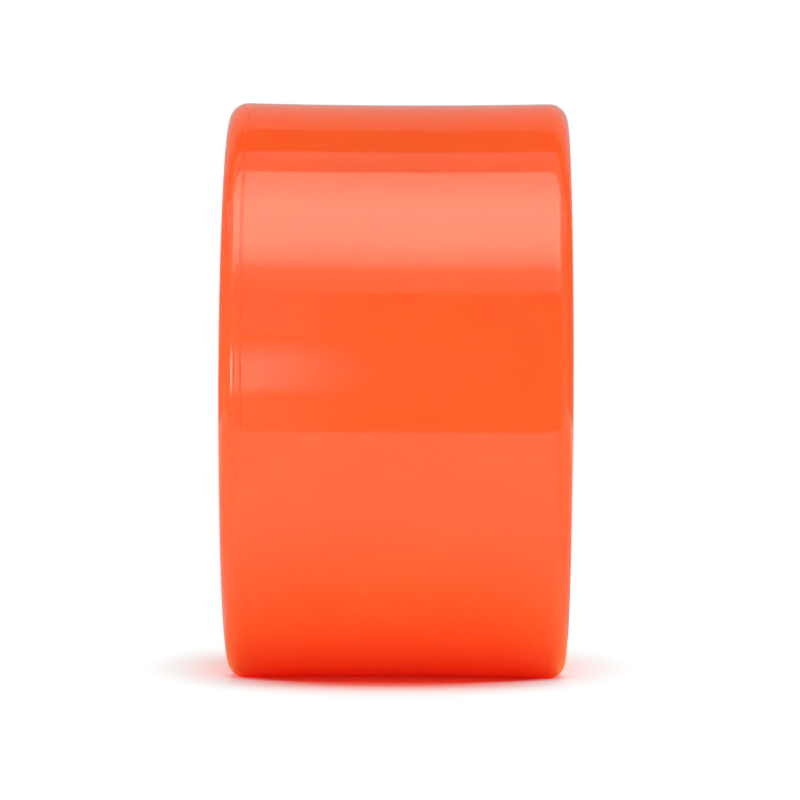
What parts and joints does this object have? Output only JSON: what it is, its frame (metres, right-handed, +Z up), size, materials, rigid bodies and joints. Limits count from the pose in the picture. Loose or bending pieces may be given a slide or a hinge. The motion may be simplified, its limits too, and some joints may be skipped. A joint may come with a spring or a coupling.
{
  "type": "longboard wheel",
  "caption": "Urethane longboard wheel with rounded lips, cast on a ribbed core that carries a sealed ball bearing on each side with a spacer between them.",
  "frame": {"origin": "centre of the wheel, on the axle's line and midway between the sidewalls", "axes": "+Y along the axle, which the wheel spins about; +Z up; +X along the rolling direction"},
  "size_m": [0.07, 0.0412, 0.07],
  "materials": {
    "urethane": "glossy cast polyurethane, slightly translucent orange",
    "core_nylon": "moulded natural nylon, satin",
    "spacer_aluminium": "turned",
    "bearing_steel": "ground and polished",
    "ball_steel": "lapped",
    "sheet_steel": "cold-rolled",
    "spring_steel": "drawn wire",
    "cage_nylon": "moulded, lightly oiled",
    "seal_rubber": "satin black nitrile"
  },
  "bodies": {
    "axle_stack": {"bearing_spacer": "spacer_aluminium", "left_inner_ring": "bearing_steel", "right_inner_ring": "bearing_steel"},
    "wheel": {"tyre": "urethane", "core": "core_nylon", "left_outer_ring": "bearing_steel", "left_seal": "seal_rubber", "left_seal_insert": "sheet_steel", "left_shield": "sheet_steel", "left_snap_ring": "spring_steel", "right_outer_ring": "bearing_steel", "right_seal": "seal_rubber", "right_seal_insert": "sheet_steel", "right_shield": "sheet_steel", "right_snap_ring": "spring_steel"},
    "left_cage": {"left_cage": "cage_nylon"},
    "left_ball_1": {"left_ball_1": "ball_steel"},
    "left_ball_2": {"left_ball_2": "ball_steel"},
    "left_ball_3": {"left_ball_3": "ball_steel"},
    "left_ball_4": {"left_ball_4": "ball_steel"},
    "left_ball_5": {"left_ball_5": "ball_steel"},
    "left_ball_6": {"left_ball_6": "ball_steel"},
    "left_ball_7": {"left_ball_7": "ball_steel"},
    "right_cage": {"right_cage": "cage_nylon"},
    "right_ball_1": {"right_ball_1": "ball_steel"},
    "right_ball_2": {"right_ball_2": "ball_steel"},
    "right_ball_3": {"right_ball_3": "ball_steel"},
    "right_ball_4": {"right_ball_4": "ball_steel"},
    "right_ball_5": {"right_ball_5": "ball_steel"},
    "right_ball_6": {"right_ball_6": "ball_steel"},
    "right_ball_7": {"right_ball_7": "ball_steel"}
  },
  "joints": [
    {"name": "wheel_spin", "type": "hinge", "parent": "axle_stack", "child": "wheel", "pos_m": [0, 0, 0], "axis": [0, 1, 0], "continuous": true},
    {"name": "left_cage_spin", "type": "hinge", "parent": "axle_stack", "child": "left_cage", "pos_m": [0, -0.0085, 0], "axis": [0, 1, 0], "continuous": true},
    {"name": "left_ball_1_spin", "type": "hinge", "parent": "left_cage", "child": "left_ball_1", "pos_m": [0.0075, -0.0085, 0], "axis": [0, 1, 0], "continuous": true},
    {"name": "left_ball_2_spin", "type": "hinge", "parent": "left_cage", "child": "left_ball_2", "pos_m": [0.00468, -0.0085, -0.00586], "axis": [0, 1, 0], "continuous": true},
    {"name": "left_ball_3_spin", "type": "hinge", "parent": "left_cage", "child": "left_ball_3", "pos_m": [-0.00167, -0.0085, -0.00731], "axis": [0, 1, 0], "continuous": true},
    {"name": "left_ball_4_spin", "type": "hinge", "parent": "left_cage", "child": "left_ball_4", "pos_m": [-0.00676, -0.0085, -0.00325], "axis": [0, 1, 0], "continuous": true},
    {"name": "left_ball_5_spin", "type": "hinge", "parent": "left_cage", "child": "left_ball_5", "pos_m": [-0.00676, -0.0085, 0.00325], "axis": [0, 1, 0], "continuous": true},
    {"name": "left_ball_6_spin", "type": "hinge", "parent": "left_cage", "child": "left_ball_6", "pos_m": [-0.00167, -0.0085, 0.00731], "axis": [0, 1, 0], "continuous": true},
    {"name": "left_ball_7_spin", "type": "hinge", "parent": "left_cage", "child": "left_ball_7", "pos_m": [0.00468, -0.0085, 0.00586], "axis": [0, 1, 0], "continuous": true},
    {"name": "right_cage_spin", "type": "hinge", "parent": "axle_stack", "child": "right_cage", "pos_m": [0, 0.0085, 0], "axis": [0, 1, 0], "continuous": true},
    {"name": "right_ball_1_spin", "type": "hinge", "parent": "right_cage", "child": "right_ball_1", "pos_m": [0.0075, 0.0085, 0], "axis": [0, 1, 0], "continuous": true},
    {"name": "right_ball_2_spin", "type": "hinge", "parent": "right_cage", "child": "right_ball_2", "pos_m": [0.00468, 0.0085, -0.00586], "axis": [0, 1, 0], "continuous": true},
    {"name": "right_ball_3_spin", "type": "hinge", "parent": "right_cage", "child": "right_ball_3", "pos_m": [-0.00167, 0.0085, -0.00731], "axis": [0, 1, 0], "continuous": true},
    {"name": "right_ball_4_spin", "type": "hinge", "parent": "right_cage", "child": "right_ball_4", "pos_m": [-0.00676, 0.0085, -0.00325], "axis": [0, 1, 0], "continuous": true},
    {"name": "right_ball_5_spin", "type": "hinge", "parent": "right_cage", "child": "right_ball_5", "pos_m": [-0.00676, 0.0085, 0.00325], "axis": [0, 1, 0], "continuous": true},
    {"name": "right_ball_6_spin", "type": "hinge", "parent": "right_cage", "child": "right_ball_6", "pos_m": [-0.00167, 0.0085, 0.00731], "axis": [0, 1, 0], "continuous": true},
    {"name": "right_ball_7_spin", "type": "hinge", "parent": "right_cage", "child": "right_ball_7", "pos_m": [0.00468, 0.0085, 0.00586], "axis": [0, 1, 0], "continuous": true}
  ],
  "couplings": [
    {"joint": "left_cage_spin", "follows": "wheel_spin", "ratio": 0.6323},
    {"joint": "left_ball_1_spin", "follows": "wheel_spin", "ratio": 1.7573},
    {"joint": "left_ball_2_spin", "follows": "wheel_spin", "ratio": 1.7573},
    {"joint": "left_ball_3_spin", "follows": "wheel_spin", "ratio": 1.7573},
    {"joint": "left_ball_4_spin", "follows": "wheel_spin", "ratio": 1.7573},
    {"joint": "left_ball_5_spin", "follows": "wheel_spin", "ratio": 1.7573},
    {"joint": "left_ball_6_spin", "follows": "wheel_spin", "ratio": 1.7573},
    {"joint": "left_ball_7_spin", "follows": "wheel_spin", "ratio": 1.7573},
    {"joint": "right_cage_spin", "follows": "wheel_spin", "ratio": 0.6323},
    {"joint": "right_ball_1_spin", "follows": "wheel_spin", "ratio": 1.7573},
    {"joint": "right_ball_2_spin", "follows": "wheel_spin", "ratio": 1.7573},
    {"joint": "right_ball_3_spin", "follows": "wheel_spin", "ratio": 1.7573},
    {"joint": "right_ball_4_spin", "follows": "wheel_spin", "ratio": 1.7573},
    {"joint": "right_ball_5_spin", "follows": "wheel_spin", "ratio": 1.7573},
    {"joint": "right_ball_6_spin", "follows": "wheel_spin", "ratio": 1.7573},
    {"joint": "right_ball_7_spin", "follows": "wheel_spin", "ratio": 1.7573}
  ]
}
